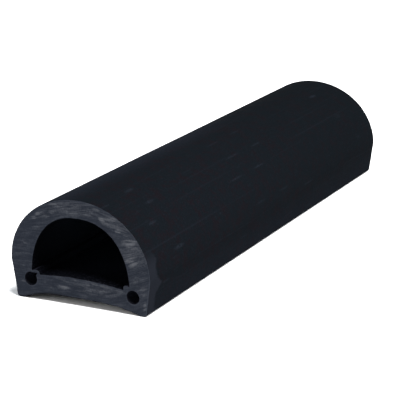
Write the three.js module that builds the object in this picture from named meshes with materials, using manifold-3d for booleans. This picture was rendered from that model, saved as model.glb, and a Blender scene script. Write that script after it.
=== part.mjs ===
// Dock bumper strip: one length of black rubber extrusion with a D-shaped section, cut square at both ends.
// Millimetres. X runs along the strip, Y across it and Z up, and the origin is at the middle of the base.

import * as THREE from 'three';
import { mergeVertices } from 'three/addons/utils/BufferGeometryUtils.js';
import Module from 'manifold-3d';

// The strip as a whole
const stripLength = 406;
const stripWidth = 112; // at the widest line of the section
const stripHeight = 77;

// Outside of the section
const kneeHeight = 27; // the leaning sides meet the arch here, at the widest line
const sideLean = 4; // how far each side comes in between the knee and the foot
const footRadius = 2.4; // rounding at the outside of each foot
const footLand = 3; // flat that each foot stands on
const archRise = 5.6; // hollow of the underside at its middle
const archFlatness = 3.4; // 2 is a parabola, and more is flatter in the middle and steeper at the feet

// D-shaped hollow
const crownWall = 13.5; // rubber over the top of the hollow
const sideWall = 16.7; // rubber beside the hollow at its widest
const webThickness = 14.8; // rubber between the underside and the hollow's floor, at the middle
const floorCrown = 3.1; // how much higher the floor is at its middle than at the hollow's sides
const springHeight = 14; // where the hollow's sides would start if the floor were not there
const hollowFullness = 2.3; // 2 is an ellipse, and more is a squarer shoulder

// Small bores in the two lower corners, each in a square bead that stands a little into the hollow
const boreDiameter = 9.5;
const boreInset = 14.5; // from the widest line to the bore's centre
const boreHeight = 13.5; // from the ground to the bore's centre
const beadWall = 2.75; // rubber between the bore and the bead's faces
const beadRadius = 2.2; // rounding of the bead's corners

// How finely the round stretches are divided
const outerSteps = 64;
const hollowSteps = 56;
const floorSteps = 24;
const undersideSteps = 16;
const boreSteps = 28;
const filletSteps = 6;

const cutterOverrun = 6; // how far a cutting bar runs past each end of the strip

const halfWidth = stripWidth / 2;
const footHalfWidth = halfWidth - sideLean;
const hollowHalfWidth = halfWidth - sideWall;
const hollowTop = stripHeight - crownWall;
const floorTop = archRise + webThickness;
const boreRadius = boreDiameter / 2;
const boreOffset = halfWidth - boreInset;
const beadHalfSize = boreRadius + beadWall;

const rubber = new THREE.MeshStandardMaterial({ color: 0x1d1f23, roughness: 0.78, metalness: 0 });

function arc(centreX, centreY, radiusX, radiusY, startAngle, endAngle, steps) {
  const curve = new THREE.EllipseCurve(centreX, centreY, radiusX, radiusY, startAngle, endAngle);
  return curve.getPoints(steps);
}

function mirrored(points) {
  return points.map((point) => new THREE.Vector2(-point.x, point.y)).reverse();
}

// The hollow of the underside, from its middle out to the foot.
function undersidePoints(archHalf) {
  const points = [];
  for (let step = 0; step <= undersideSteps; step += 1) {
    const share = step / undersideSteps;
    points.push(new THREE.Vector2(archHalf * share, archRise * (1 - share ** archFlatness)));
  }
  return points;
}

// The outline seen from the end: the right half from the middle of the underside to the foot, the arch
// from knee to knee, and the right half mirrored.
function outerSection() {
  const quarter = Math.PI / 2;
  const sideAngle = Math.atan2(kneeHeight, sideLean);
  const footCentre = footHalfWidth - footRadius * Math.tan(sideAngle / 2);
  const footEnd = sideAngle - quarter;
  const foot = arc(footCentre, footRadius, footRadius, footRadius, -quarter, footEnd, filletSteps);
  const rightHalf = [...undersidePoints(footCentre - footLand), ...foot];
  const arch = arc(0, kneeHeight, halfWidth, stripHeight - kneeHeight, 0, 2 * quarter, outerSteps);
  return new THREE.Shape([...rightHalf, ...arch, ...mirrored(rightHalf).slice(0, -1)]);
}

// The hollow's sides and top, one curve a little fuller than an ellipse, closed by a straight line below.
function archSection() {
  const rise = hollowTop - springHeight;
  const power = 2 / hollowFullness;
  const points = [];
  for (let step = 0; step <= hollowSteps; step += 1) {
    const angle = (Math.PI * step) / hollowSteps;
    const across = Math.sign(Math.cos(angle)) * Math.abs(Math.cos(angle)) ** power;
    points.push(new THREE.Vector2(hollowHalfWidth * across, springHeight + rise * Math.sin(angle) ** power));
  }
  return new THREE.Shape(points);
}

// The web under the hollow: its crowned top is the hollow's floor.
function webSection() {
  const drop = floorCrown * (halfWidth / hollowHalfWidth) ** 2;
  const section = new THREE.Shape();
  section.moveTo(-halfWidth, 0);
  section.lineTo(halfWidth, 0);
  section.lineTo(halfWidth, floorTop - drop);
  section.quadraticCurveTo(0, floorTop + drop, -halfWidth, floorTop - drop);
  return section;
}

function boreSection(side) {
  const circle = arc(side * boreOffset, boreHeight, boreRadius, boreRadius, 0, 2 * Math.PI, boreSteps);
  return new THREE.Shape(circle.slice(0, -1));
}

function beadSection(side) {
  const corner = beadHalfSize - beadRadius;
  const points = [0, 1, 2, 3].flatMap((turn) => {
    const start = (turn * Math.PI) / 2;
    const across = side * boreOffset + corner * Math.SQRT2 * Math.cos(start + Math.PI / 4);
    const up = boreHeight + corner * Math.SQRT2 * Math.sin(start + Math.PI / 4);
    return arc(across, up, beadRadius, beadRadius, start, start + Math.PI / 2, filletSteps);
  });
  return new THREE.Shape(points);
}

const wasm = await Module();
wasm.setup();

// A bar of the given section along X, as a solid that can be cut.
function bar(section, length) {
  const settings = { depth: length, bevelEnabled: false, curveSegments: floorSteps };
  const geometry = new THREE.ExtrudeGeometry(section, settings);
  const alongX = new THREE.Matrix4().makeBasis(
    new THREE.Vector3(0, 1, 0),
    new THREE.Vector3(0, 0, 1),
    new THREE.Vector3(1, 0, 0)
  );
  geometry.translate(0, 0, -length / 2);
  geometry.applyMatrix4(alongX);
  geometry.deleteAttribute('normal');
  geometry.deleteAttribute('uv');
  const closed = mergeVertices(geometry);
  const vertProperties = new Float32Array(closed.attributes.position.array);
  const triVerts = new Uint32Array(closed.index.array);
  return new wasm.Manifold(new wasm.Mesh({ numProp: 3, vertProperties, triVerts }));
}

function cuttingBar(section) {
  return bar(section, stripLength + 2 * cutterOverrun);
}

function toGeometry(solid) {
  const cut = solid.getMesh();
  const geometry = new THREE.BufferGeometry();
  geometry.setAttribute('position', new THREE.BufferAttribute(cut.vertProperties, 3));
  geometry.setIndex(new THREE.BufferAttribute(cut.triVerts, 1));
  return geometry;
}

function bumperStrip() {
  let hollow = cuttingBar(archSection()).subtract(cuttingBar(webSection()));
  let strip = bar(outerSection(), stripLength);
  for (const side of [-1, 1]) {
    hollow = hollow.subtract(cuttingBar(beadSection(side)));
    strip = strip.subtract(cuttingBar(boreSection(side)));
  }
  const geometry = toGeometry(strip.subtract(hollow));
  geometry.computeVertexNormals();
  const mesh = new THREE.Mesh(geometry, rubber);
  mesh.name = 'bumper_strip';
  return mesh;
}

const bumper = new THREE.Group();
bumper.add(bumperStrip());

export default bumper;
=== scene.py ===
# Dock bumper strip: one length of black rubber extrusion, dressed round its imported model. Metres.
# X runs along the strip, Y across it and Z up. The sawn end that the camera sees is the one at -X.

import math

import bmesh
import bpy
import numpy as np
from mathutils import Matrix, Vector
from mathutils.geometry import delaunay_2d_cdt
from mathutils.kdtree import KDTree


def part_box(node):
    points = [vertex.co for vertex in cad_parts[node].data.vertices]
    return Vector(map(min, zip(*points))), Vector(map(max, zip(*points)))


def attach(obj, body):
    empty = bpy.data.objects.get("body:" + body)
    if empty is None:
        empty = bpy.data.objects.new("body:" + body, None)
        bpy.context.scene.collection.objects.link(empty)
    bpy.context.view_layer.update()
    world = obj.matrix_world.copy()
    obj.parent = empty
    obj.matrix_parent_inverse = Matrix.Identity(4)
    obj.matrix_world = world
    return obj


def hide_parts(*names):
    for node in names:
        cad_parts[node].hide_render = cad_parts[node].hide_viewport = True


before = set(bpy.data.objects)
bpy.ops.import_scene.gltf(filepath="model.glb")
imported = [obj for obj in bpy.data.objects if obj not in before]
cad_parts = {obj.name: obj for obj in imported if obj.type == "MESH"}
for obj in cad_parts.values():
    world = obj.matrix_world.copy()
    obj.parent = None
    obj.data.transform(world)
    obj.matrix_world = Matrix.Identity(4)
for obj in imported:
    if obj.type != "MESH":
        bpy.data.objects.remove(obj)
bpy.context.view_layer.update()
mm = 0.001
low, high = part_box("bumper_strip")
stripLength = high.x - low.x
halfWidth = (high.y - low.y) / 2 / mm
stripHeight = (high.z - low.z) / mm
print("frame loaded:", sorted(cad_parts))


# Small helpers for building node trees

def feed(tree, socket, value):
    if isinstance(value, bpy.types.NodeSocket):
        tree.links.new(value, socket)
    else:
        socket.default_value = value


def put(tree, kind, inputs=None, **settings):
    node = tree.nodes.new(kind)
    for name, value in settings.items():
        setattr(node, name, value)
    for key, value in (inputs or {}).items():
        feed(tree, node.inputs[key], value)
    return node


def calc(tree, operation, *values):
    node = put(tree, "ShaderNodeMath", dict(enumerate(values)), operation=operation)
    return node.outputs[0]


def times(tree, first, second):
    return calc(tree, "MULTIPLY", first, second)


def minus(tree, first, second):
    return calc(tree, "SUBTRACT", first, second)


def calcVector(tree, operation, *values):
    node = put(tree, "ShaderNodeVectorMath", dict(enumerate(values)), operation=operation)
    return node.outputs["Value" if operation == "LENGTH" else "Vector"]


def scaled(tree, vector, factor):
    node = put(tree, "ShaderNodeVectorMath", {"Vector": vector, "Scale": factor}, operation="SCALE")
    return node.outputs["Vector"]


# A soft step from 0 to 1 as the value goes from low to high, or back from 1 to 0 where low is the larger.
def ramp(tree, value, low, high):
    inputs = {"Value": value, "From Min": low, "From Max": high}
    node = put(tree, "ShaderNodeMapRange", inputs, interpolation_type="SMOOTHSTEP")
    return node.outputs["Result"]


# The same with its two ends given together, in millimetres
def rampMm(tree, value, ends):
    return ramp(tree, value, ends[0] * mm, ends[1] * mm)


def noise(tree, vector, scale=1.0, detail=2.0, roughness=0.5):
    inputs = {"Vector": vector, "Scale": scale, "Detail": detail, "Roughness": roughness}
    return put(tree, "ShaderNodeTexNoise", inputs).outputs[0]


def split(tree, vector):
    return put(tree, "ShaderNodeSeparateXYZ", {0: vector}).outputs


def combine(tree, x=0.0, y=0.0, z=0.0):
    return put(tree, "ShaderNodeCombineXYZ", {0: x, 1: y, 2: z}).outputs[0]


def mixColour(tree, factor, first, second):
    node = put(tree, "ShaderNodeMix", {0: factor, 6: first, 7: second}, data_type="RGBA")
    return node.outputs[2]


def newGroup(name, kind, inputs, outputs):
    tree = bpy.data.node_groups.new(name, kind)
    for direction, sockets in (("INPUT", inputs), ("OUTPUT", outputs)):
        for socketName, socketKind, value in sockets:
            socket = tree.interface.new_socket(socketName, in_out=direction, socket_type=socketKind)
            if value is not None:
                socket.default_value = value
    return tree, put(tree, "NodeGroupInput").outputs, put(tree, "NodeGroupOutput").inputs


def useGroup(tree, group, inputs=None):
    node = put(tree, "ShaderNodeGroup", node_tree=group)
    for key, value in (inputs or {}).items():
        feed(tree, node.inputs[key], value)
    return node.outputs


# Sets the nodes out in columns, each to the left of what it feeds.
def setOut(tree):
    columnWidth, rowHeight = 220, 190
    depth = {node.name: 0 for node in tree.nodes}
    changed = True
    while changed:
        changed = False
        for link in tree.links:
            wanted = depth[link.to_node.name] + 1
            if depth[link.from_node.name] < wanted:
                depth[link.from_node.name] = wanted
                changed = True
    rows = {}
    for node in tree.nodes:
        column = depth[node.name]
        row = rows.get(column, 0)
        node.location = (-columnWidth * column, -rowHeight * row)
        rows[column] = row + 1


def newMaterial(name):
    material = bpy.data.materials.new(name)
    material.use_nodes = True
    tree = material.node_tree
    return material, tree, tree.nodes["Principled BSDF"].inputs


def addObject(name, data):
    added = bpy.data.objects.new(name, data)
    bpy.context.scene.collection.objects.link(added)
    return added


floatSocket = "NodeSocketFloat"
vectorSocket = "NodeSocketVector"
geometrySocket = "NodeSocketGeometry"


# Camera, light and floor

view = {
    "aim": (0.6, 11.8, 20.3),  # mm, the point that lies in the middle of the picture
    "distance": 1333.0,  # mm
    "azimuth": 27.6,  # degrees that the line of sight is turned from +X towards +Y
    "elevation": 16.6,
    "roll": -0.98,
    "lens": 150.4,
}

light = {
    "background": 1.0,  # what the camera sees behind the floor
    "surround": 0.58,  # what falls on the strip from all round
    "overhead": {"from": (-0.15, -0.35, 1.0), "spread": 20.0, "strength": 5.0},
    "behind": {"from": (0.4, 1.0, 0.45), "spread": 40.0, "strength": 0.8, "colour": (0.6, 0.8, 1.0)},
    "beside": {"from": (0.15, -1.0, 0.4), "spread": 30.0, "strength": 2.7},
    "front": {"from": (-1.0, 1.1, 0.5), "spread": 20.0, "strength": 0.6},
    "floorTone": 0.94,
    "floorBounce": 0.65,  # the floor's tone for the light that it throws back on the strip
}


def aimedMatrix(place, target, roll=0.0):
    forward = (target - place).normalized()
    right = forward.cross(Vector((0, 0, 1))).normalized()
    up = right.cross(forward)
    turn = math.radians(roll)
    rolledRight = math.cos(turn) * right + math.sin(turn) * up
    rolledUp = math.cos(turn) * up - math.sin(turn) * right
    matrix = Matrix((rolledRight, rolledUp, -forward)).transposed().to_4x4()
    matrix.translation = place
    return matrix


def makeCamera():
    azimuth = math.radians(view["azimuth"])
    elevation = math.radians(view["elevation"])
    level = math.cos(elevation)
    forward = Vector((level * math.cos(azimuth), level * math.sin(azimuth), -math.sin(elevation)))
    aim = Vector(view["aim"]) * mm
    data = bpy.data.cameras.new("stripCamera")
    data.lens = view["lens"]
    data.sensor_width = 36.0
    data.clip_start = 0.05
    data.clip_end = 50.0
    camera = addObject("stripCamera", data)
    camera.matrix_world = aimedMatrix(aim - forward * view["distance"] * mm, aim, view["roll"])
    bpy.context.scene.camera = camera


# One value for what is seen straight from the camera, and another for the light on the strip
def seenOr(tree, seen, thrown):
    straight = put(tree, "ShaderNodeLightPath").outputs["Is Camera Ray"]
    return calc(tree, "MULTIPLY_ADD", straight, seen - thrown, thrown)


def makeLights():
    world = bpy.data.worlds.new("paleStudio")
    bpy.context.scene.world = world
    world.use_nodes = True
    tree = world.node_tree
    strength = seenOr(tree, light["background"], light["surround"])
    feed(tree, tree.nodes["Background"].inputs["Color"], (1.0, 1.0, 1.0, 1.0))
    feed(tree, tree.nodes["Background"].inputs["Strength"], strength)
    for name in ("overhead", "behind", "beside", "front"):
        data = bpy.data.lights.new(name + "Light", "SUN")
        data.angle = math.radians(light[name]["spread"])
        data.energy = light[name]["strength"]
        data.color = light[name].get("colour", (1.0, 1.0, 1.0))
        lamp = addObject(name + "Light", data)
        lamp.matrix_world = aimedMatrix(Vector(light[name]["from"]), Vector((0, 0, 0)))


def makeFloor():
    half, level = 4.0, -0.1 * mm
    mesh = bpy.data.meshes.new("studioFloor")
    corners = [(x * half, y * half, level) for x, y in ((-1, -1), (1, -1), (1, 1), (-1, 1))]
    mesh.from_pydata(corners, [], [(0, 1, 2, 3)])
    material, tree, shader = newMaterial("paleFloor")
    tone = seenOr(tree, light["floorTone"], light["floorBounce"])
    feed(tree, shader["Base Color"], combine(tree, tone, tone, tone))
    shader["Roughness"].default_value = 0.9
    shader["Specular IOR Level"].default_value = 0.1
    mesh.materials.append(material)
    floor = addObject("studioFloor", mesh)


bpy.context.scene.view_settings.view_transform = "Standard"
makeCamera()
makeLights()
makeFloor()
print("camera, light and floor ready")


# Effects that several rubber finishes share

def rubberGrainGroup():
    tree, given, made = newGroup("rubberGrain", "ShaderNodeTree", [
        ("Vector", vectorSocket, None),
        ("Grain Size", floatSocket, 0.0005),
        ("Cloud Size", floatSocket, 0.012),
    ], [("Grain", floatSocket, None), ("Cloud", floatSocket, None), ("Tint", floatSocket, None)])
    fine = calcVector(tree, "DIVIDE", given["Vector"], combine(tree, *[given["Grain Size"]] * 3))
    broad = calcVector(tree, "DIVIDE", given["Vector"], combine(tree, *[given["Cloud Size"]] * 3))
    pits = ramp(tree, noise(tree, fine, 0.45, 1.0), 0.62, 0.44)
    feed(tree, made["Grain"], times(tree, noise(tree, fine, 1.0, 2.0), pits))
    feed(tree, made["Cloud"], ramp(tree, noise(tree, broad, 1.0, 4.0, 0.6), 0.36, 0.64))
    shifted = calcVector(tree, "ADD", broad, (17.3, 5.1, 9.7))
    feed(tree, made["Tint"], ramp(tree, noise(tree, shifted, 1.7, 6.0, 0.88), 0.48, 0.58))
    setOut(tree)
    return tree


# Fine lines that the die leaves along the strip. The first coordinate runs along it, the second round it.
def dieLinesGroup():
    tree, given, made = newGroup("dieLines", "ShaderNodeTree", [
        ("Surface", vectorSocket, None),
        ("Line Width", floatSocket, 0.0011),
    ], [("Height", floatSocket, None), ("Streak", floatSocket, None)])
    along, around, _ = split(tree, given["Surface"])
    across = calc(tree, "DIVIDE", around, given["Line Width"])

    def drawnOut(alongScale, scale, detail=2.0):
        return noise(tree, combine(tree, times(tree, along, alongScale), across), scale, detail)

    fine = drawnOut(3.0, 1.0, 1.0)
    wide = drawnOut(1.6, 0.16)
    feed(tree, made["Height"], calc(tree, "MULTIPLY_ADD", wide, 0.6, times(tree, fine, 0.4)))
    thin = ramp(tree, drawnOut(7.0, 0.55), 0.6, 0.72)
    feed(tree, made["Streak"], times(tree, thin, ramp(tree, wide, 0.38, 0.62)))
    setOut(tree)
    return tree


# One soft-edged oval spot, for a scuff or a worn patch.
def softSpotGroup():
    tree, given, made = newGroup("softSpot", "ShaderNodeTree", [
        ("Place", vectorSocket, None),
        ("Centre", vectorSocket, None),
        ("Half Size", vectorSocket, (0.01, 0.01, 1.0)),
        ("Turn", floatSocket, 0.0),
        ("Strength", floatSocket, 1.0),
    ], [("Mask", floatSocket, None)])
    away = calcVector(tree, "SUBTRACT", given["Place"], given["Centre"])
    inputs = {"Vector": away, "Angle": given["Turn"]}
    turned = put(tree, "ShaderNodeVectorRotate", inputs, rotation_type="Z_AXIS").outputs[0]
    share = calcVector(tree, "LENGTH", calcVector(tree, "DIVIDE", turned, given["Half Size"]))
    feed(tree, made["Mask"], times(tree, ramp(tree, share, 1.0, 0.25), given["Strength"]))
    setOut(tree)
    return tree


rubberGrain = rubberGrainGroup()
dieLines = dieLinesGroup()
softSpot = softSpotGroup()


# The largest of many soft spots. Each row is centre, half size (all mm), turn in degrees and strength.
def spots(tree, place, rows):
    total = None
    for across, up, halfLong, halfWide, turn, strength in rows:
        mask = useGroup(tree, softSpot, {
            "Place": place,
            "Centre": (across * mm, up * mm, 0.0),
            "Half Size": (halfLong * mm, halfWide * mm, 1.0),
            "Turn": math.radians(-turn),
            "Strength": strength,
        })["Mask"]
        total = mask if total is None else calc(tree, "MAXIMUM", total, mask)
    return total


def objectPlace(tree):
    return put(tree, "ShaderNodeTexCoord").outputs["Object"]


def surfacePlace(tree):
    return put(tree, "ShaderNodeUVMap", uv_map="UVMap").outputs["UV"]


def attributeShare(tree, name):
    return put(tree, "ShaderNodeAttribute", attribute_name=name).outputs["Fac"]


def grainOf(tree, place, finish):
    grainSize, cloudSize = (value * mm for value in finish["grainSize"])
    return useGroup(tree, rubberGrain, {"Vector": place, "Grain Size": grainSize, "Cloud Size": cloudSize})


def linesOf(tree, surface, finish):
    return useGroup(tree, dieLines, {"Surface": surface, "Line Width": finish["lineWidth"] * mm})


# The end of every finish: its roughness, which follows the grain's clouds, its specular level and its bump
def dressShader(tree, shader, finish, cloud, height, rougher=0.0):
    low, high = finish["roughness"]
    roughness = calc(tree, "MULTIPLY_ADD", cloud, high - low, low)
    feed(tree, shader["Roughness"], calc(tree, "ADD", roughness, rougher))
    shader["Specular IOR Level"].default_value = finish["specular"]
    strength, distance = finish["bump"]
    inputs = {"Strength": strength, "Distance": distance * mm, "Height": height}
    feed(tree, shader["Normal"], put(tree, "ShaderNodeBump", inputs).outputs[0])
    setOut(tree)


skinFinish = {
    "slate": (0.0036, 0.0048, 0.0063, 1.0),
    "plum": (0.0049, 0.0042, 0.0055, 1.0),
    "farTone": (0.0025, 0.0036, 0.0044, 1.0),  # towards the far end, and how much of it there
    "farShare": 0.45,
    "farAlong": (-100.0, 200.0),  # mm along from the middle, where it begins and where it is full
    # Dust and painted sheen over the side away from the camera, towards the near end.
    # Painted light below the knee on the camera's side.
    "dustAndPaintedLightTone": (0.0063, 0.0078, 0.0116, 1.0),
    "dustAndSheenRound": (6.0, -20.0),  # mm round from the crown, where it begins and where it is full
    "dustAndSheenAlong": (100.0, -60.0),
    # painted light: paler below the knee, where the side leans down away from the light
    "belowKneePaintedLight": (84.0, 104.0),
    "belowKneePaintedLightShare": 0.3,
    "speckScale": 800.0,  # of the specks in the dust and painted light, and of the flecks, per metre
    "lineTone": (0.0068, 0.0084, 0.0120, 1.0),
    "lineShare": 0.42,  # how far the die's lines show this tone, and how far flecks do
    "fleckShare": 0.7,
    "scuffTone": (0.0094, 0.0118, 0.0165, 1.0),
    "scratchScale": (480.0, 1000.0, 1.0),  # per metre along and round, of the scratches within a scuff
    "scratchSpan": (0.34, 0.64),
    "scuffRoughness": 0.12,
    "rubbedTone": (0.0091, 0.0104, 0.0143, 1.0),
    "rubbedShare": 0.9,
    "grainSize": (0.6, 16.0),  # mm, the grain and its clouds
    "lineWidth": 1.1,
    "specular": 0.0015,
    "roughness": (0.60, 0.66),
    "bump": (0.6, 0.25),  # strength, and depth in mm
    # The rubbed band beside the near end: its width, where it begins round from the crown, and the tongues
    # that reach further along the strip (place round from the crown, reach and half width), all in mm.
    "bandWidth": 9.0,
    "bandFrom": (60.0, 76.0),
    "tongues": [(70.0, 12.5, 6.0), (88.0, 17.5, 9.0), (111.0, 17.0, 8.0)],
    "tonguePower": 1.8,  # 1 is a straight-sided tongue, and more is a thinner one with a broad foot
    "bandWander": 5.0,  # over how many mm the band's edge strays, and how softly it ends
    "bandSoftness": 1.4,
    "bandScale": 300.0,  # of that straying, per metre
    # Scuffs: along the strip from its middle and round it from the crown, then half length, half width,
    # turn and strength. Positive round goes down the side that faces the camera.
    "scuffs": [
        # near the cut end
        (-198, 19.5, 7, 1, 0, 0.8), (-160, 16.5, 9, 2, 0, 0.8), (-158, 33, 8, 2, 0, 0.7),
        (-175, 47.5, 8, 2, 0, 0.7), (-158, 71, 10, 2, 0, 0.8), (-180, 89.5, 8, 1.5, 0, 0.6),
        (-180, 36, 8, 1, 0, 0.2), (-90, 25.5, 15, 1, 0, 0.25), (-91, 66, 2, 1.2, 0, 0.5),
        # about the middle
        (-25, 13.5, 14, 1, 0, 0.6), (14, 13, 12, 1, 0, 0.5), (14, 33, 11, 1, 0, 0.7),
        (-27, 32.5, 16, 1, 0, 0.6), (-8, 49.5, 12, 1, 0, 0.7), (-48, 49.5, 15, 1.2, 0, 0.6),
        (-27, 74.5, 13, 1.2, 0, 0.5), (15, 75, 12, 1, 0, 0.5), (61, 82, 13, 1, 0, 0.6),
        (-56, 94, 9, 1, 0, 0.5), (27, 100, 13, 1, 0, 0.4), (70, 104, 12, 1, 0, 0.4),
        # towards the far end
        (157, 17.5, 8, 2.2, 0, 0.9), (156, 46, 8, 3, 0, 0.25), (171, 70, 6, 2, 20, 0.3),
        # on the side that the photo doesn't show
        (-120, -48, 8, 0.9, 3, 0.6), (-40, -60, 7, 1, 0, 0.6), (70, -42, 9, 0.8, -2, 0.7),
        (128, -70, 6, 1.1, 0, 0.7), (-88, -82, 8, 0.9, 0, 0.6), (20, -95, 9, 0.9, 2, 0.5),
        (182, -30, 5, 1.2, 0, 0.7),
    ],
}


def skinMaterial(finish):
    material, tree, shader = newMaterial("blackRubberSkin")
    place = objectPlace(tree)
    surface = surfacePlace(tree)
    grain = grainOf(tree, place, finish)
    lines = linesOf(tree, surface, finish)
    along, around, _ = split(tree, surface)
    colour = mixColour(tree, grain["Tint"], finish["slate"], finish["plum"])
    far = times(tree, rampMm(tree, along, finish["farAlong"]), finish["farShare"])
    colour = mixColour(tree, far, colour, finish["farTone"])
    speck = noise(tree, place, finish["speckScale"], 2.0, 0.8)
    # Dust and painted sheen: paler over the side away from the camera, towards the near end
    dustAndSheen = rampMm(tree, around, finish["dustAndSheenRound"])
    dustAndSheen = times(tree, dustAndSheen, rampMm(tree, along, finish["dustAndSheenAlong"]))
    # Painted light below the knee on the camera's side, fuller towards the foot
    below = rampMm(tree, around, finish["belowKneePaintedLight"])
    below = times(tree, below, finish["belowKneePaintedLightShare"])
    mottled = calc(tree, "MULTIPLY_ADD", ramp(tree, speck, 0.38, 0.62), 0.9, 0.45)
    dustAndPaintedLight = times(tree, calc(tree, "MAXIMUM", dustAndSheen, below), mottled)
    colour = mixColour(tree, dustAndPaintedLight, colour, finish["dustAndPaintedLightTone"])
    flecks = times(tree, ramp(tree, speck, 0.5, 0.8), finish["fleckShare"])
    pale = calc(tree, "MULTIPLY_ADD", lines["Streak"], finish["lineShare"], flecks)
    colour = mixColour(tree, pale, colour, finish["lineTone"])
    edge = finish["bandWidth"] * mm
    for middle, reach, halfWide in finish["tongues"]:
        away = calc(tree, "ABSOLUTE", minus(tree, around, middle * mm))
        share = calc(tree, "MAXIMUM", calc(tree, "MULTIPLY_ADD", away, -1.0 / (halfWide * mm), 1.0), 0.0)
        further = (reach - finish["bandWidth"]) * mm
        flared = calc(tree, "POWER", share, finish["tonguePower"])
        edge = calc(tree, "MULTIPLY_ADD", flared, further, edge)
    swing = finish["bandWander"] * mm
    strayed = noise(tree, place, finish["bandScale"], 3.0, 0.7)
    wander = calc(tree, "MULTIPLY_ADD", strayed, swing, -swing / 2)
    fromEnd = calc(tree, "ADD", along, stripLength / 2)
    within = calc(tree, "ADD", minus(tree, edge, fromEnd), wander)
    begins = rampMm(tree, around, finish["bandFrom"])
    soft = finish["bandSoftness"]
    band = times(tree, rampMm(tree, within, (-soft, soft)), begins)
    band = times(tree, band, finish["rubbedShare"])
    colour = mixColour(tree, band, colour, finish["rubbedTone"])
    scratched = calcVector(tree, "MULTIPLY", surface, finish["scratchScale"])
    broken = ramp(tree, noise(tree, scratched, 1.0, 3.0, 0.75), *finish["scratchSpan"])
    scuffs = times(tree, spots(tree, surface, finish["scuffs"]), broken)
    feed(tree, shader["Base Color"], mixColour(tree, scuffs, colour, finish["scuffTone"]))
    rougher = times(tree, scuffs, finish["scuffRoughness"])
    height = calc(tree, "MULTIPLY_ADD", grain["Grain"], 0.35, times(tree, lines["Height"], 0.65))
    dressShader(tree, shader, finish, grain["Cloud"], height, rougher)
    return material


cutFinish = {
    "dark": (0.0150, 0.0180, 0.0256, 1.0),
    "plain": (0.0196, 0.0232, 0.0324, 1.0),
    "pale": (0.084, 0.088, 0.100, 1.0),
    # the tone of the rims' wear and painted highlight
    "paleRimAndHighlight": (0.044, 0.050, 0.064, 1.0),
    "grainSize": (0.5, 14.0),
    "specular": 0.03,
    "roughness": (0.72, 0.88),
    "bump": (0.5, 0.3),
    # The broad streaks of the saw and the fine ones: length and thickness in mm, and share
    "streaks": [(14.0, 2.4, 0.8), (9.0, 0.9, 0.7)],
    "mottleScale": 650.0,  # per metre, of the mottle under the streaks, and its share
    "mottleShare": 0.45,
    "mottleSpan": 0.22,  # the mottle goes from dark to plain over twice this
    "paleSpan": (-0.1, 1.12),
    "patchShare": 0.7,  # how far a patch lifts the tone by itself
    "streakShare": (1.1, 2.6),  # how far the streaks do, in the plain rubber and in a patch
    "shadeTone": (0.004, 0.004, 0.005, 1.0),  # along the lower edge at the camera's left
    # The lines of the cut rise to the right past bendFrom, and arch over the top above topFrom, all in mm.
    "bendFrom": 10.0,
    "bendRadius": 90.0,
    "topCentre": 8.0,
    "topRadius": 91.0,
    "topFrom": (46.0, 62.0),
    # Dry patches of the sawn face: right of the middle and up as the camera sees it, half length, half
    # width, turn and strength.
    "patches": [
        # over the top, from the left
        (-18.5, 71, 8, 2.5, -8, 0.7), (0, 72.5, 11, 2.5, 4, 0.65), (14.5, 72, 6, 2, -14, 0.7),
        (-3, 67, 8, 2, 7, 0.55), (7.5, 67, 8, 2, 3, 0.4), (19, 65.5, 4.5, 2, -15, 0.9),
        (27, 66.5, 7, 3, 0, 0.65), (22, 63, 6, 2, -5, 0.5), (31.5, 59, 4, 2, -5, 0.9),
        (38.5, 61, 6, 2.5, -15, 0.5), (43, 58.5, 2.5, 1.5, -30, 0.6), (38, 57, 6, 2, -10, 0.4),
        # left limb, downwards
        (-21, 66, 4.5, 2.5, 5, 0.65), (-28.5, 64.5, 4, 1.5, 0, 0.4), (-32.5, 63.5, 4, 2, 0, 0.5),
        (-26, 62.5, 5.5, 2, 12, 0.45), (-35.5, 60, 3, 2, 15, 0.4), (-34, 53, 6, 2, 5, 0.25),
        (-46, 42.5, 4, 1.5, 5, 0.3), (-44, 41, 2.5, 1.5, 0, 0.4), (-48.5, 38.5, 4, 2, 0, 0.3),
        # right limb, downwards
        (39, 52.5, 8.5, 2.5, 16, 0.75), (41, 50.5, 8, 3, 27, 1), (44, 53, 4, 2.5, 20, 0.8),
        (43.5, 48, 6, 1.5, 20, 0.7), (36.5, 46, 4, 1.5, 10, 0.35), (41, 39.5, 8, 3, 27, 1),
        (43, 37, 6, 2.5, 25, 0.8), (43.5, 35, 6, 1.5, 20, 0.45), (49.5, 43, 4, 1.5, 28, 0.5),
        (52.5, 38, 3.5, 2, 60, 0.45), (49, 32, 6, 1.5, 15, 0.4), (46, 27.5, 5, 1.5, 12, 0.4),
        (44, 24, 4, 1.5, 25, 0.5), (39.5, 22.5, 2, 1.5, 0, 0.4), (50, 20, 5, 2, 15, 0.4),
        (51, 16, 4, 1.5, 10, 0.35), (51, 7.5, 5, 2, 80, 0.5),
        # web, from the left
        (-46.5, 23.5, 2.5, 2, 0, 0.25), (-47, 12, 2.5, 1.5, 0, 0.4), (-38, 8.5, 5, 1.5, 5, 0.2),
        (-29, 14, 2, 1.5, 0, 0.3), (-24.5, 11, 3, 1.5, 0, 0.45), (-14, 12, 8, 2, 2, 0.7),
        (-15, 18.5, 9, 1.5, 5, 0.4), (-14, 16.5, 7, 1.5, 3, 0.35), (-5, 18.5, 7, 1.5, -2, 0.35),
        (6.5, 16.5, 3.5, 1.5, 0, 0.65), (12, 18, 5, 1.5, -5, 0.8), (21, 17, 9, 2, -4, 0.7),
        (16, 14, 9, 2, 2, 0.55), (31, 15.5, 6, 2, 3, 0.6), (3, 8, 5, 1.5, 12, 0.3),
        # broad faint ones under the others
        (-4, 70, 36, 9, 4, 0.35), (30, 64, 22, 8, -20, 0.35), (43, 45, 14, 16, 20, 0.45),
        (14, 14, 32, 7, 0, 0.3), (46, 25, 10, 9, 20, 0.2),
    ],
    "farPatches": 0.6,  # how strong the same patches are on the far end, where they lie mirrored
    "farAlong": (-100.0, 100.0),
}


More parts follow.
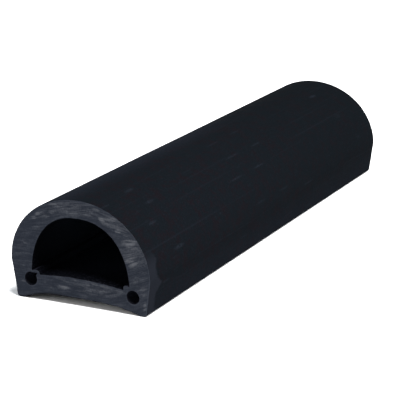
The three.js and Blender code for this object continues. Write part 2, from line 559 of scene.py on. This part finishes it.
def cutMaterial(finish):
    material, tree, shader = newMaterial("sawnRubber")
    place = objectPlace(tree)
    along, left, up = split(tree, place)
    right = times(tree, left, calc(tree, "SIGN", along))
    past = calc(tree, "MAXIMUM", minus(tree, right, finish["bendFrom"] * mm), 0.0)
    rise = calc(tree, "DIVIDE", times(tree, past, past), 2.0 * finish["bendRadius"] * mm)
    beside = minus(tree, right, finish["topCentre"] * mm)
    drop = calc(tree, "DIVIDE", times(tree, beside, beside), 2.0 * finish["topRadius"] * mm)
    atTop = rampMm(tree, up, finish["topFrom"])
    bent = calc(tree, "MULTIPLY_ADD", atTop, calc(tree, "ADD", drop, rise), up)
    level = minus(tree, bent, rise)
    mottle = minus(tree, noise(tree, place, finish["mottleScale"], 3.0, 0.75), 0.5)
    mottle = times(tree, mottle, finish["mottleShare"])
    for long, thick, share in finish["streaks"]:
        inLine = calc(tree, "DIVIDE", right, long * mm)
        lined = combine(tree, inLine, calc(tree, "DIVIDE", level, thick * mm), along)
        streaks = minus(tree, noise(tree, lined, 1.0, 4.0, 0.62), 0.5)
        mottle = calc(tree, "MULTIPLY_ADD", streaks, share, mottle)
    grain = grainOf(tree, place, finish)
    span = finish["mottleSpan"]
    colour = mixColour(tree, ramp(tree, mottle, -span, span), finish["dark"], finish["plain"])
    patch = spots(tree, combine(tree, right, up), finish["patches"])
    atFar = rampMm(tree, along, finish["farAlong"])
    weaker = calc(tree, "MULTIPLY_ADD", atFar, finish["farPatches"] - 1.0, 1.0)
    patch = times(tree, patch, weaker)
    calm, strong = finish["streakShare"]
    lift = times(tree, mottle, calc(tree, "MULTIPLY_ADD", patch, strong - calm, calm))
    lift = calc(tree, "MULTIPLY_ADD", patch, finish["patchShare"], lift)
    colour = mixColour(tree, ramp(tree, lift, *finish["paleSpan"]), colour, finish["pale"])
    # The rims' wear and painted highlight, then the painted shade along the lower edge
    for name, tone in (("edgeWearAndHighlight", "paleRimAndHighlight"), ("edgeShade", "shadeTone")):
        colour = mixColour(tree, attributeShare(tree, name), colour, finish[tone])
    feed(tree, shader["Base Color"], colour)
    height = calc(tree, "MULTIPLY_ADD", grain["Grain"], 0.4, mottle)
    dressShader(tree, shader, finish, grain["Cloud"], height)
    return material


# The hollow and the bores are darker beside the cut and painted paler from there inwards, over the reach
# given in mm: painted light that lifts the shade deeper inside.
insideFinish = {
    "hollow": {
        "tones": ((0.0010, 0.0012, 0.0019, 1.0), (0.0014, 0.0017, 0.0026, 1.0)),
        "deepPaintedLightTone": (0.027, 0.036, 0.053, 1.0),
        "deepPaintedLightReach": 120.0,
    },
    "bore": {
        "tones": ((0.0034, 0.0038, 0.0056, 1.0), (0.0048, 0.0050, 0.0075, 1.0)),
        "deepPaintedLightTone": (0.060, 0.068, 0.098, 1.0),
        "deepPaintedLightReach": 22.0,
    },
    "beadDustAndHighlightReach": (26.0, 3.0),  # mm in from the cut, where dust and painted highlight on the beads end, and are full
    "looseReach": (34.0, 0.0),  # the same for loose grains of it, and then how high up the sides they lie
    "looseHeight": (36.0, 22.0),
    "looseScale": 800.0,  # per metre
    "looseSpan": (0.58, 0.68),
    "looseShare": 0.7,
    "lineShare": 0.2,
    "dustAndPaintedLightTone": (0.012, 0.012, 0.018, 1.0),
    "grainSize": (0.8, 20.0),
    "lineWidth": 1.4,
    "specular": 0.006,
    "roughness": (0.6, 0.8),
    "bump": (0.6, 0.3),
}


def insideMaterial(name, finish):
    material, tree, shader = newMaterial(name)
    place = objectPlace(tree)
    grain = grainOf(tree, place, insideFinish)
    lines = linesOf(tree, surfacePlace(tree), insideFinish)
    colour = mixColour(tree, grain["Cloud"], *finish["tones"])
    along, _, up = split(tree, place)
    fromEnd = minus(tree, stripLength / 2, calc(tree, "ABSOLUTE", along))
    # Painted light: paler deeper in, where less light reaches
    deepPaintedLight = rampMm(tree, fromEnd, (0.0, finish["deepPaintedLightReach"]))
    colour = mixColour(tree, deepPaintedLight, colour, finish["deepPaintedLightTone"])
    # Dust and painted highlight along the bead tops near the cut
    nearEnd = rampMm(tree, fromEnd, insideFinish["beadDustAndHighlightReach"])
    onBead = times(tree, attributeShare(tree, "beadDustAndHighlight"), nearEnd)
    loose = ramp(tree, noise(tree, place, insideFinish["looseScale"], 1.0), *insideFinish["looseSpan"])
    loose = times(tree, loose, insideFinish["looseShare"])
    loose = times(tree, loose, rampMm(tree, fromEnd, insideFinish["looseReach"]))
    loose = times(tree, loose, rampMm(tree, up, insideFinish["looseHeight"]))
    inLines = times(tree, lines["Streak"], insideFinish["lineShare"])
    dustAndHighlight = calc(tree, "MAXIMUM", calc(tree, "MAXIMUM", inLines, onBead), loose)
    feed(tree, shader["Base Color"], mixColour(tree, dustAndHighlight, colour, insideFinish["dustAndPaintedLightTone"]))
    height = calc(tree, "MULTIPLY_ADD", grain["Grain"], 0.3, times(tree, lines["Height"], 0.7))
    dressShader(tree, shader, insideFinish, grain["Cloud"], height)
    return material


finishes = {
    "skin": skinMaterial(skinFinish),
    "cut": cutMaterial(cutFinish),
    "hollow": insideMaterial("hollowRubber", insideFinish["hollow"]),
    "bore": insideMaterial("boreRubber", insideFinish["bore"]),
}
print("finishes ready:", [material.name for material in finishes.values()])


# The strip's section, in millimetres. Across is +Y, which the camera sees on the left, and up is +Z.

strip = {
    "node": "bumper_strip",
    "slot": "black_rubber",
    "kneeHeight": 27.0,
    "sideLean": 4.0,
    "footRadius": 2.4,
    "footLand": 3.0,
    "archRise": 5.6,
    "archFlatness": 3.4,
    "crownWall": 13.5,
    "sideWall": 16.7,
    "webThickness": 14.8,
    "floorCrown": 3.1,
    "springHeight": 14.0,
    "hollowFullness": 2.3,
    "boreRadius": 4.75,
    "boreInset": 14.5,
    "boreHeight": 13.5,
    "beadWall": 2.75,
    "beadRadius": {1: 3.0, -1: 2.2},
    "beadTilt": 0.9,  # how much lower the bead's top lies at the hollow's side than at its corner
    "beadDustAndHighlight": 1.3,  # how much dust and painted highlight lie along a bead's top middle, and how far from it in mm
    "beadDustAndHighlightReach": 1.4,
    "boreShift": {1: (-1.1, 0.5), -1: (-0.4, 0.2)},  # how far each bore sits off its place in this strip
    "beadShift": {1: (-1.5, 0.5), -1: (-0.3, 0.7)},
    "skew": 0.019,  # how much higher the rubber lies for each mm towards +Y, from skewFrom up
    "skewFrom": 8.0,
    "rimSpacing": 1.2,  # between the points of the outline and the hollow
    "boreSpacing": 0.45,
    "faceSpacing": 1.25,  # between the points of the sawn faces
    "edgeRings": (0.7, 1.4),  # rows of points beside every rim, for the raised burr of the cut
    "ringClearance": 0.86,  # how near a rim they may lie, as a share of their row's depth
    "faceClearance": 0.55,  # how far inside the rows the other points begin, in face spacings
    "closest": 0.4,  # between the points of the rows
    "sliver": 0.003,  # square mm, the largest face that is left out
    "stations": 96,  # steps along the length, closer together towards the ends
    "chamfer": 0.34,  # how far the cut edges are worn back
    "burr": 0.22,  # how high the cut's burr stands beside the edges
    "burrReach": (1.1, 0.4),  # how far from an edge it ends, and how near it is full
    "sawRelief": 0.14,
    "cutReach": 2.5,  # how far in from the sawn face its relief fades
    "waviness": 0.3,
    "dieRelief": 0.09,
    "skinRelief": (1.0, 10.0),  # how high up these two begin and are full, so that the feet lie flat
    "tears": [  # beside the bore at the camera's left: place, push and reach
        ((36.9, 18.3), (-1.8, 1.1), 1.5),
        ((36.2, 17.3), (0.9, -0.5), 0.6),
    ],
    "tearDepth": 6.0,
    "rimWearAndHighlight": {1: 0.25, 2: 0.3, 3: 0.85, 4: 0.85},  # wear and painted highlight: outline, hollow, bores
    "rimWearAndHighlightReach": 1.3,
    "sideHighlight": (2.4, -0.93),  # the painted highlight where the outline faces further than this towards -Y
    "footShade": (5.0, 14.0, 1.6),  # where the dark below begins, over how much it grows, and its reach
    "sharpAngle": 38.0,  # degrees between faces from which their edge is shaded sharp
    "seed": 7,
}


def arcPoints(centre, radii, startDegrees, endDegrees, steps=96):
    points = []
    for step in range(steps + 1):
        angle = math.radians(startDegrees + (endDegrees - startDegrees) * step / steps)
        points.append((centre[0] + radii[0] * math.cos(angle), centre[1] + radii[1] * math.sin(angle)))
    return points


def mirroredBack(stretches):
    return [[(-across, up) for across, up in reversed(points)] for points in reversed(stretches)]


# The outline from the middle of the underside, up the right side, over the top and back: a list of smooth
# stretches, which meet at the corners.
def outerStretches():
    footHalf = halfWidth - strip["sideLean"]
    sideAngle = math.atan2(strip["kneeHeight"], strip["sideLean"])
    footCentre = footHalf - strip["footRadius"] * math.tan(sideAngle / 2)
    archHalf = footCentre - strip["footLand"]
    shares = [step / 120 for step in range(121)]
    under = [(archHalf * s, strip["archRise"] * (1 - s ** strip["archFlatness"])) for s in shares]
    land = [under[-1], (footCentre, 0.0)]
    radius = strip["footRadius"]
    foot = arcPoints((footCentre, radius), (radius, radius), -90, math.degrees(sideAngle) - 90)
    side = [foot[-1], (halfWidth, strip["kneeHeight"])]
    right = [under, land, foot, side]
    top = arcPoints((0, strip["kneeHeight"]), (halfWidth, stripHeight - strip["kneeHeight"]), 0, 180, 400)
    return right + [top] + mirroredBack(right)


def hollowArch(angle):
    power = 2 / strip["hollowFullness"]
    rise = stripHeight - strip["crownWall"] - strip["springHeight"]
    across = math.copysign(abs(math.cos(angle)) ** power, math.cos(angle))
    up = strip["springHeight"] + rise * math.sin(angle) ** power
    return (halfWidth - strip["sideWall"]) * across, up


def beadTop(side):
    return strip["boreHeight"] + strip["boreRadius"] + strip["beadWall"] + strip["beadShift"][side][1]


# The angle at which the arch of the hollow starts from the top of the bead on this side.
def archStart(side):
    rise = stripHeight - strip["crownWall"] - strip["springHeight"]
    share = (beadTop(side) - strip["beadTilt"] - strip["springHeight"]) / rise
    return math.asin(share ** (strip["hollowFullness"] / 2))


def beadInner(side):
    size = strip["boreRadius"] + strip["beadWall"]
    return halfWidth - strip["boreInset"] - size + side * strip["beadShift"][side][0]


def hollowStretches():
    half = halfWidth - strip["sideWall"]
    floorTop = strip["archRise"] + strip["webThickness"]

    # The floor from its middle, the bead's face and its rounded corner. Its top runs on to the arch.
    def corner(side):
        radius = strip["beadRadius"][side]
        inner = beadInner(side)
        turnHeight = beadTop(side) - radius
        floor = [(inner * step / 60, floorTop - strip["floorCrown"] * (inner * step / 60 / half) ** 2)
                 for step in range(61)]
        face = [floor[-1], (inner, turnHeight)]
        turn = arcPoints((inner + radius, turnHeight), (radius, radius), 180, 90, 12)
        return [floor, face, turn]

    right, left = corner(1), mirroredBack(corner(-1))
    first, last = archStart(1), math.pi - archStart(-1)
    arch = [hollowArch(first + (last - first) * step / 400) for step in range(401)]
    return right + [[right[-1][-1], arch[0]], arch, [arch[-1], left[0][0]]] + left


def boreStretches(side):
    shiftAcross, shiftUp = strip["boreShift"][side]
    centre = (side * (halfWidth - strip["boreInset"]) + shiftAcross, strip["boreHeight"] + shiftUp)
    return [arcPoints(centre, (strip["boreRadius"],) * 2, -90, 270, 180)]


def skewed(across, up):
    share = min(1.0, up / strip["skewFrom"])
    return up + strip["skew"] * across * share * share * (3 - 2 * share)


# Half way across the top of a bead, where dust and a painted highlight lie
def beadMiddle(side):
    outer, up = hollowArch(archStart(side))
    across = side * (outer + beadInner(side) + strip["beadRadius"][side]) / 2
    return Vector((across, skewed(across, (up + beadTop(side)) / 2)))


# Points evenly spaced along each stretch, as rows of across, up and distance round the loop.
def loopPoints(stretches, spacing):
    rows, travelled = [], 0.0
    for stretch in stretches:
        points = np.array(stretch)
        reach = np.r_[0.0, np.cumsum(np.linalg.norm(np.diff(points, axis=0), axis=1))]
        count = max(1, round(reach[-1] / spacing))
        for step in range(count):
            at = reach[-1] * step / count
            across = np.interp(at, reach, points[:, 0])
            up = np.interp(at, reach, points[:, 1])
            rows.append((across, skewed(across, up), travelled + at))
        travelled += reach[-1]
    return np.array(rows), travelled


# Directions out of the rubber at each point of a loop that runs anticlockwise.
def loopNormals(points, outside):
    tangents = np.roll(points[:, :2], -1, axis=0) - np.roll(points[:, :2], 1, axis=0)
    tangents /= np.linalg.norm(tangents, axis=1)[:, None]
    turned = np.c_[tangents[:, 1], -tangents[:, 0]]
    return turned if outside else -turned


def insideLoop(points, loop):
    x, y = points[:, :1], points[:, 1:]
    ax, ay = loop[:, 0], loop[:, 1]
    bx, by = np.roll(ax, -1), np.roll(ay, -1)
    spans = (ay > y) != (by > y)
    with np.errstate(divide="ignore", invalid="ignore"):
        crossing = ax + (y - ay) * (bx - ax) / (by - ay)
    return np.count_nonzero(spans & (x < crossing), axis=1) % 2 == 1


# The flat face of the section as a mesh of small triangles. Each point holds its rim, the way out of the
# rubber, the distance round, the tear, and the wear and painted highlight beside the rims.
def sectionPlate():
    loops = []
    for number, stretches, outside, spacing in (
        (1, outerStretches(), True, strip["rimSpacing"]),
        (2, hollowStretches(), False, strip["rimSpacing"]),
        (3, boreStretches(1), False, strip["boreSpacing"]),
        (4, boreStretches(-1), False, strip["boreSpacing"]),
    ):
        points, girth = loopPoints(stretches, spacing)
        loops.append({"number": number, "points": points, "girth": girth,
                      "normals": loopNormals(points, outside)})
    rimTree = KDTree(sum(len(loop["points"]) for loop in loops))
    places, rims, normals, rounds, edges = [], [], [], [], []
    for loop in loops:
        first = len(places)
        count = len(loop["points"])
        for index in range(count):
            across, up, travelled = loop["points"][index]
            rimTree.insert((across, up, 0), len(places))
            places.append((across, up))
            rims.append(loop["number"])
            normals.append(tuple(loop["normals"][index]))
            rounds.append(travelled - loop["girth"] / 2)
            edges.append((first + index, first + (index + 1) % count))
    rimTree.balance()
    onRims = len(places)

    def inRubber(points):
        points = np.array(points)
        inside = insideLoop(points, loops[0]["points"])
        for loop in loops[1:]:
            inside &= ~insideLoop(points, loop["points"])
        return inside

    candidates = []
    for depth in strip["edgeRings"]:
        for index in range(onRims):
            across = places[index][0] - normals[index][0] * depth
            up = places[index][1] - normals[index][1] * depth
            candidates.append((across, up, depth * strip["ringClearance"]))
    spacing = strip["faceSpacing"]
    clearance = strip["edgeRings"][-1] + spacing * strip["faceClearance"]
    rowHeight = spacing * math.sqrt(0.75)
    columns = math.ceil(halfWidth / spacing)
    for row in range(1, int(stripHeight / rowHeight)):
        shift = spacing / 2 * (row % 2)
        for column in range(-columns, columns + 1):
            candidates.append((column * spacing + shift, row * rowHeight, clearance))
    within = inRubber([candidate[:2] for candidate in candidates])
    cellSize = 0.5  # mm, over the closest distance, so that the cells all round hold every near point
    taken = {}
    for (across, up, gap), good in zip(candidates, within):
        if not good or rimTree.find((across, up, 0))[2] < gap:
            continue
        cell = (round(across / cellSize), round(up / cellSize))
        around = [(cell[0] + i, cell[1] + j) for i in (-1, 0, 1) for j in (-1, 0, 1)]
        near = [math.dist((across, up), taken[key]) for key in around if key in taken]
        if gap < clearance and near and min(near) < strip["closest"]:
            continue
        taken[cell] = (across, up)
        places.append((across, up))
        rims.append(0)
        normals.append((0.0, 0.0))
        rounds.append(0.0)
    flat = [Vector(place) for place in places]
    points, _, faces, sources, _, _ = delaunay_2d_cdt(flat, edges, [], 0, 1e-5)
    order = [source[0] for source in sources]

    # Slivers lie just outside the straight rims, so they go too
    def area(face):
        a, b, c = (points[v] for v in face)
        return abs((b - a).cross(c - a)) / 2

    centres = [tuple(sum((points[v] for v in face), Vector((0, 0))) / 3) for face in faces]
    kept = [face for face, good in zip(faces, inRubber(centres)) if good and area(face) > strip["sliver"]]
    mesh = bpy.data.meshes.new("sectionPlate")
    mesh.from_pydata([(0.0, p.x * mm, p.y * mm) for p in points], [], kept)

    def fading(distance, reach):
        return max(0.0, 1.0 - distance / reach)

    wearAndHighlight, shade, gaps, dustAndHighlight, pushes = [], [], [], [], []
    dustAndHighlightBeads = [beadMiddle(1), beadMiddle(-1)]
    sideHighlight, sideFacing = strip["sideHighlight"]
    shadeFrom, shadeSpan, shadeReach = strip["footShade"]
    for p in points:
        _, nearest, gap = rimTree.find((p.x, p.y, 0))
        gaps.append(gap * mm)
        beside = min((p - middle).length for middle in dustAndHighlightBeads)
        dustAndHighlight.append(strip["beadDustAndHighlight"] * fading(beside, strip["beadDustAndHighlightReach"]))
        facing = normals[nearest]
        onOutline = rims[nearest] == 1
        # Painted highlight: rims that face up are paler, as if lit from above
        lit = 0.25 + 0.75 * max(0.0, facing[1]) ** 2
        # Painted highlight on the outline's edge that faces -Y
        if onOutline and facing[0] < sideFacing:
            lit = sideHighlight
        wearAndHighlight.append(strip["rimWearAndHighlight"][rims[nearest]] * lit * fading(gap, strip["rimWearAndHighlightReach"]))
        below = max(0.0, -facing[1]) ** 2 if onOutline else 0.0
        grown = min(1.0, max(0.0, (p.x - shadeFrom) / shadeSpan))
        shade.append(below * grown * fading(gap, shadeReach))
        push = Vector((0.0, 0.0))
        for centre, direction, reach in strip["tears"]:
            push += Vector(direction) * math.exp(-((p - Vector(centre)).length / reach) ** 2)
        pushes.extend((0.0, push.x * mm, push.y * mm))
    for name, kind, values in (
        ("rim", "INT", [rims[source] for source in order]),
        ("round", "FLOAT", [rounds[source] * mm for source in order]),
        ("edgeWearAndHighlight", "FLOAT", wearAndHighlight),
        ("edgeShade", "FLOAT", shade),
        ("beadDustAndHighlight", "FLOAT", dustAndHighlight),
        ("ringGap", "FLOAT", gaps),
        ("outward", "FLOAT_VECTOR", [x for source in order for x in (0.0, *normals[source])]),
        ("tear", "FLOAT_VECTOR", pushes),
    ):
        attribute = mesh.attributes.new(name, kind, "POINT")
        attribute.data.foreach_set("vector" if kind == "FLOAT_VECTOR" else "value", values)
    return mesh


# Sweeps the plate along the strip's path and closes both ends with it.
def stripSweepTree():
    tree, given, made = newGroup("stripSweep", "GeometryNodeTree", [
        ("Section", geometrySocket, None),
        ("Length", floatSocket, stripLength),
        ("Stations", "NodeSocketInt", strip["stations"]),
        ("Chamfer", floatSocket, strip["chamfer"] * mm),
        ("Burr", floatSocket, strip["burr"] * mm),
        ("Saw Relief", floatSocket, strip["sawRelief"] * mm),
        ("Waviness", floatSocket, strip["waviness"] * mm),
        ("Die Relief", floatSocket, strip["dieRelief"] * mm),
        ("Seed", floatSocket, float(strip["seed"])),
        ("Skin", "NodeSocketMaterial", finishes["skin"]),
        ("Cut", "NodeSocketMaterial", finishes["cut"]),
        ("Hollow", "NodeSocketMaterial", finishes["hollow"]),
        ("Bore", "NodeSocketMaterial", finishes["bore"]),
    ], [("Strip", geometrySocket, None)])

    def named(name, kind="FLOAT"):
        node = put(tree, "GeometryNodeInputNamedAttribute", {"Name": name}, data_type=kind)
        return node.outputs["Attribute"]

    def place():
        return put(tree, "GeometryNodeInputPosition").outputs[0]

    def moved(geometry, way, value):
        return put(tree, "GeometryNodeSetPosition", {"Geometry": geometry, way: value}).outputs[0]

    def equals(value, number):
        inputs = {2: value, 3: number}
        return put(tree, "FunctionNodeCompare", inputs, data_type="INT", operation="EQUAL").outputs[0]

    def zoned(geometry, value):
        inputs = {"Geometry": geometry, "Name": "zone", "Value": value}
        node = put(tree, "GeometryNodeStoreNamedAttribute", inputs, data_type="INT", domain="FACE")
        return node.outputs[0]

    def joined(*parts):
        node = put(tree, "GeometryNodeJoinGeometry")
        for part in parts:
            tree.links.new(part, node.inputs[0])
        return node.outputs[0]

    halfLength = times(tree, given["Length"], 0.5)

    # The path, with its points drawn towards the two ends
    start = combine(tree, times(tree, given["Length"], -0.5))
    line = put(tree, "GeometryNodeCurvePrimitiveLine", {"Start": start, "End": combine(tree, halfLength)})
    count = calc(tree, "ADD", given["Stations"], 1.0)
    path = put(tree, "GeometryNodeResampleCurve", {"Curve": line.outputs[0], "Count": count})
    share = calc(tree, "DIVIDE", split(tree, place())[0], given["Length"])
    eased = calc(tree, "SINE", times(tree, share, math.pi))
    path = moved(path.outputs[0], "Position", combine(tree, times(tree, eased, halfLength)))

    # The rims of the plate, turned into the plane that Curve to Mesh sweeps
    edge = equals(put(tree, "GeometryNodeInputMeshEdgeNeighbors").outputs[0], 1)
    rims = put(tree, "GeometryNodeMeshToCurve", {"Mesh": given["Section"], "Selection": edge}).outputs[0]
    _, across, up = split(tree, place())
    laid = combine(tree, times(tree, across, -1.0), times(tree, up, -1.0))
    rims = moved(rims, "Position", laid)
    tube = put(tree, "GeometryNodeCurveToMesh", {"Curve": path, "Profile Curve": rims}).outputs[0]
    tube = zoned(tube, named("rim", "INT"))

    # Both ends
    near = put(tree, "GeometryNodeTransform", {"Geometry": given["Section"], "Translation": start})
    far = put(tree, "GeometryNodeTransform", {
        "Geometry": given["Section"], "Translation": combine(tree, halfLength)})
    far = put(tree, "GeometryNodeFlipFaces", {"Mesh": far.outputs[0]})
    ends = zoned(joined(near.outputs[0], far.outputs[0]), 0)
    inputs = {"Geometry": joined(tube, ends), "Distance": 0.01 * mm}
    body = put(tree, "GeometryNodeMergeByDistance", inputs).outputs[0]

    # Relief. fromEnd is the distance to the nearer sawn face.
    outward = named("outward", "FLOAT_VECTOR")
    spot = calcVector(tree, "ADD", place(), combine(tree, times(tree, given["Seed"], 0.37)))
    x, y, z = split(tree, place())
    fromEnd = minus(tree, halfLength, calc(tree, "ABSOLUTE", x))
    atEnd = rampMm(tree, fromEnd, (strip["cutReach"], 0.0))
    facing = calc(tree, "SIGN", x)

    wornBack = calc(tree, "MULTIPLY_ADD", noise(tree, spot, 260.0, 3.0), 1.5, 0.15)
    radius = calc(tree, "MAXIMUM", times(tree, given["Chamfer"], wornBack), 0.02 * mm)
    short = calc(tree, "MAXIMUM", minus(tree, radius, fromEnd), 0.0)
    arm = minus(tree, times(tree, radius, radius), times(tree, short, short))
    inset = minus(tree, radius, calc(tree, "SQRT", calc(tree, "MAXIMUM", arm, 0.0)))
    body = moved(body, "Offset", scaled(tree, outward, times(tree, inset, -1.0)))

    drawn = combine(tree, times(tree, x, 1.5), times(tree, named("round"), 330.0), named("rim", "INT"))
    lines = noise(tree, drawn, 1.0, 2.0)
    waves = noise(tree, spot, 13.0, 1.0)
    lineHeight = times(tree, minus(tree, lines, 0.5), given["Die Relief"])
    waveHeight = times(tree, minus(tree, waves, 0.5), given["Waviness"])
    offFloor = rampMm(tree, z, strip["skinRelief"])
    swell = times(tree, calc(tree, "ADD", lineHeight, waveHeight), offFloor)
    body = moved(body, "Offset", scaled(tree, outward, swell))

    stretched = combine(tree, times(tree, y, 90.0), times(tree, z, 520.0), x)
    saw = minus(tree, noise(tree, stretched, 1.0, 2.0), 0.5)
    broad = minus(tree, noise(tree, spot, 40.0, 1.0), 0.5)
    cutHeight = times(tree, calc(tree, "MULTIPLY_ADD", broad, 1.2, saw), given["Saw Relief"])
    raised = ramp(tree, noise(tree, spot, 190.0, 2.0), 0.42, 0.7)
    ring = rampMm(tree, named("ringGap"), strip["burrReach"])
    burrHeight = times(tree, times(tree, raised, ring), given["Burr"])
    outOfEnd = times(tree, atEnd, facing)
    out = times(tree, calc(tree, "ADD", cutHeight, burrHeight), outOfEnd)
    body = moved(body, "Offset", combine(tree, out))

    nearCut = rampMm(tree, fromEnd, (strip["tearDepth"], 0.0))
    torn = times(tree, nearCut, calc(tree, "LESS_THAN", x, 0.0))
    body = moved(body, "Offset", scaled(tree, named("tear", "FLOAT_VECTOR"), torn))

    body = put(tree, "GeometryNodeRealizeInstances", {"Geometry": body}).outputs[0]
    zone = named("zone", "INT")
    for number, name in ((0, "Cut"), (1, "Skin"), (2, "Hollow"), (3, "Bore"), (4, "Bore")):
        inputs = {"Geometry": body, "Selection": equals(zone, number), "Material": given[name]}
        body = put(tree, "GeometryNodeSetMaterial", inputs).outputs[0]
    feed(tree, made["Strip"], body)
    setOut(tree)
    return tree


def sweptStrip():
    plate = sectionPlate()
    carrier = addObject("sectionPlate", plate)
    sweep = carrier.modifiers.new("stripSweep", "NODES")
    sweep.node_group = stripSweepTree()
    evaluated = carrier.evaluated_get(bpy.context.evaluated_depsgraph_get())
    mesh = bpy.data.meshes.new_from_object(evaluated)
    mesh.name = "bumperStrip"
    bpy.data.objects.remove(carrier)
    bpy.data.meshes.remove(plate)
    return mesh


# The UV map holds the distance along the strip and round it, or the plain place on a sawn face.
def mapSurface(mesh):
    edit = bmesh.new()
    edit.from_mesh(mesh)
    bmesh.ops.recalc_face_normals(edit, faces=edit.faces)
    zones = edit.faces.layers.int["zone"]
    rounds = edit.verts.layers.float["round"]
    surface = edit.loops.layers.uv.new("UVMap")
    for face in edit.faces:
        face.smooth = True
        if face[zones] == 0:
            for loop in face.loops:
                loop[surface].uv = (loop.vert.co.y, loop.vert.co.z)
            continue
        values = [loop.vert[rounds] for loop in face.loops]
        wraps = max(values) - min(values) > 10 * mm
        for loop, value in zip(face.loops, values):
            if wraps and value < 0:
                value = -value
            loop[surface].uv = (loop.vert.co.x, value)
    edit.to_mesh(mesh)
    edit.free()
    mesh.set_sharp_from_angle(angle=math.radians(strip["sharpAngle"]))


def makeStrip():
    mesh = sweptStrip()
    mapSurface(mesh)
    piece = addObject("bumperStrip", mesh)
    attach(piece, "root")
    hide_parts(strip["node"])
    mesh.calc_loop_triangles()
    print("bumper strip ready:", len(mesh.loop_triangles), "triangles")


makeStrip()
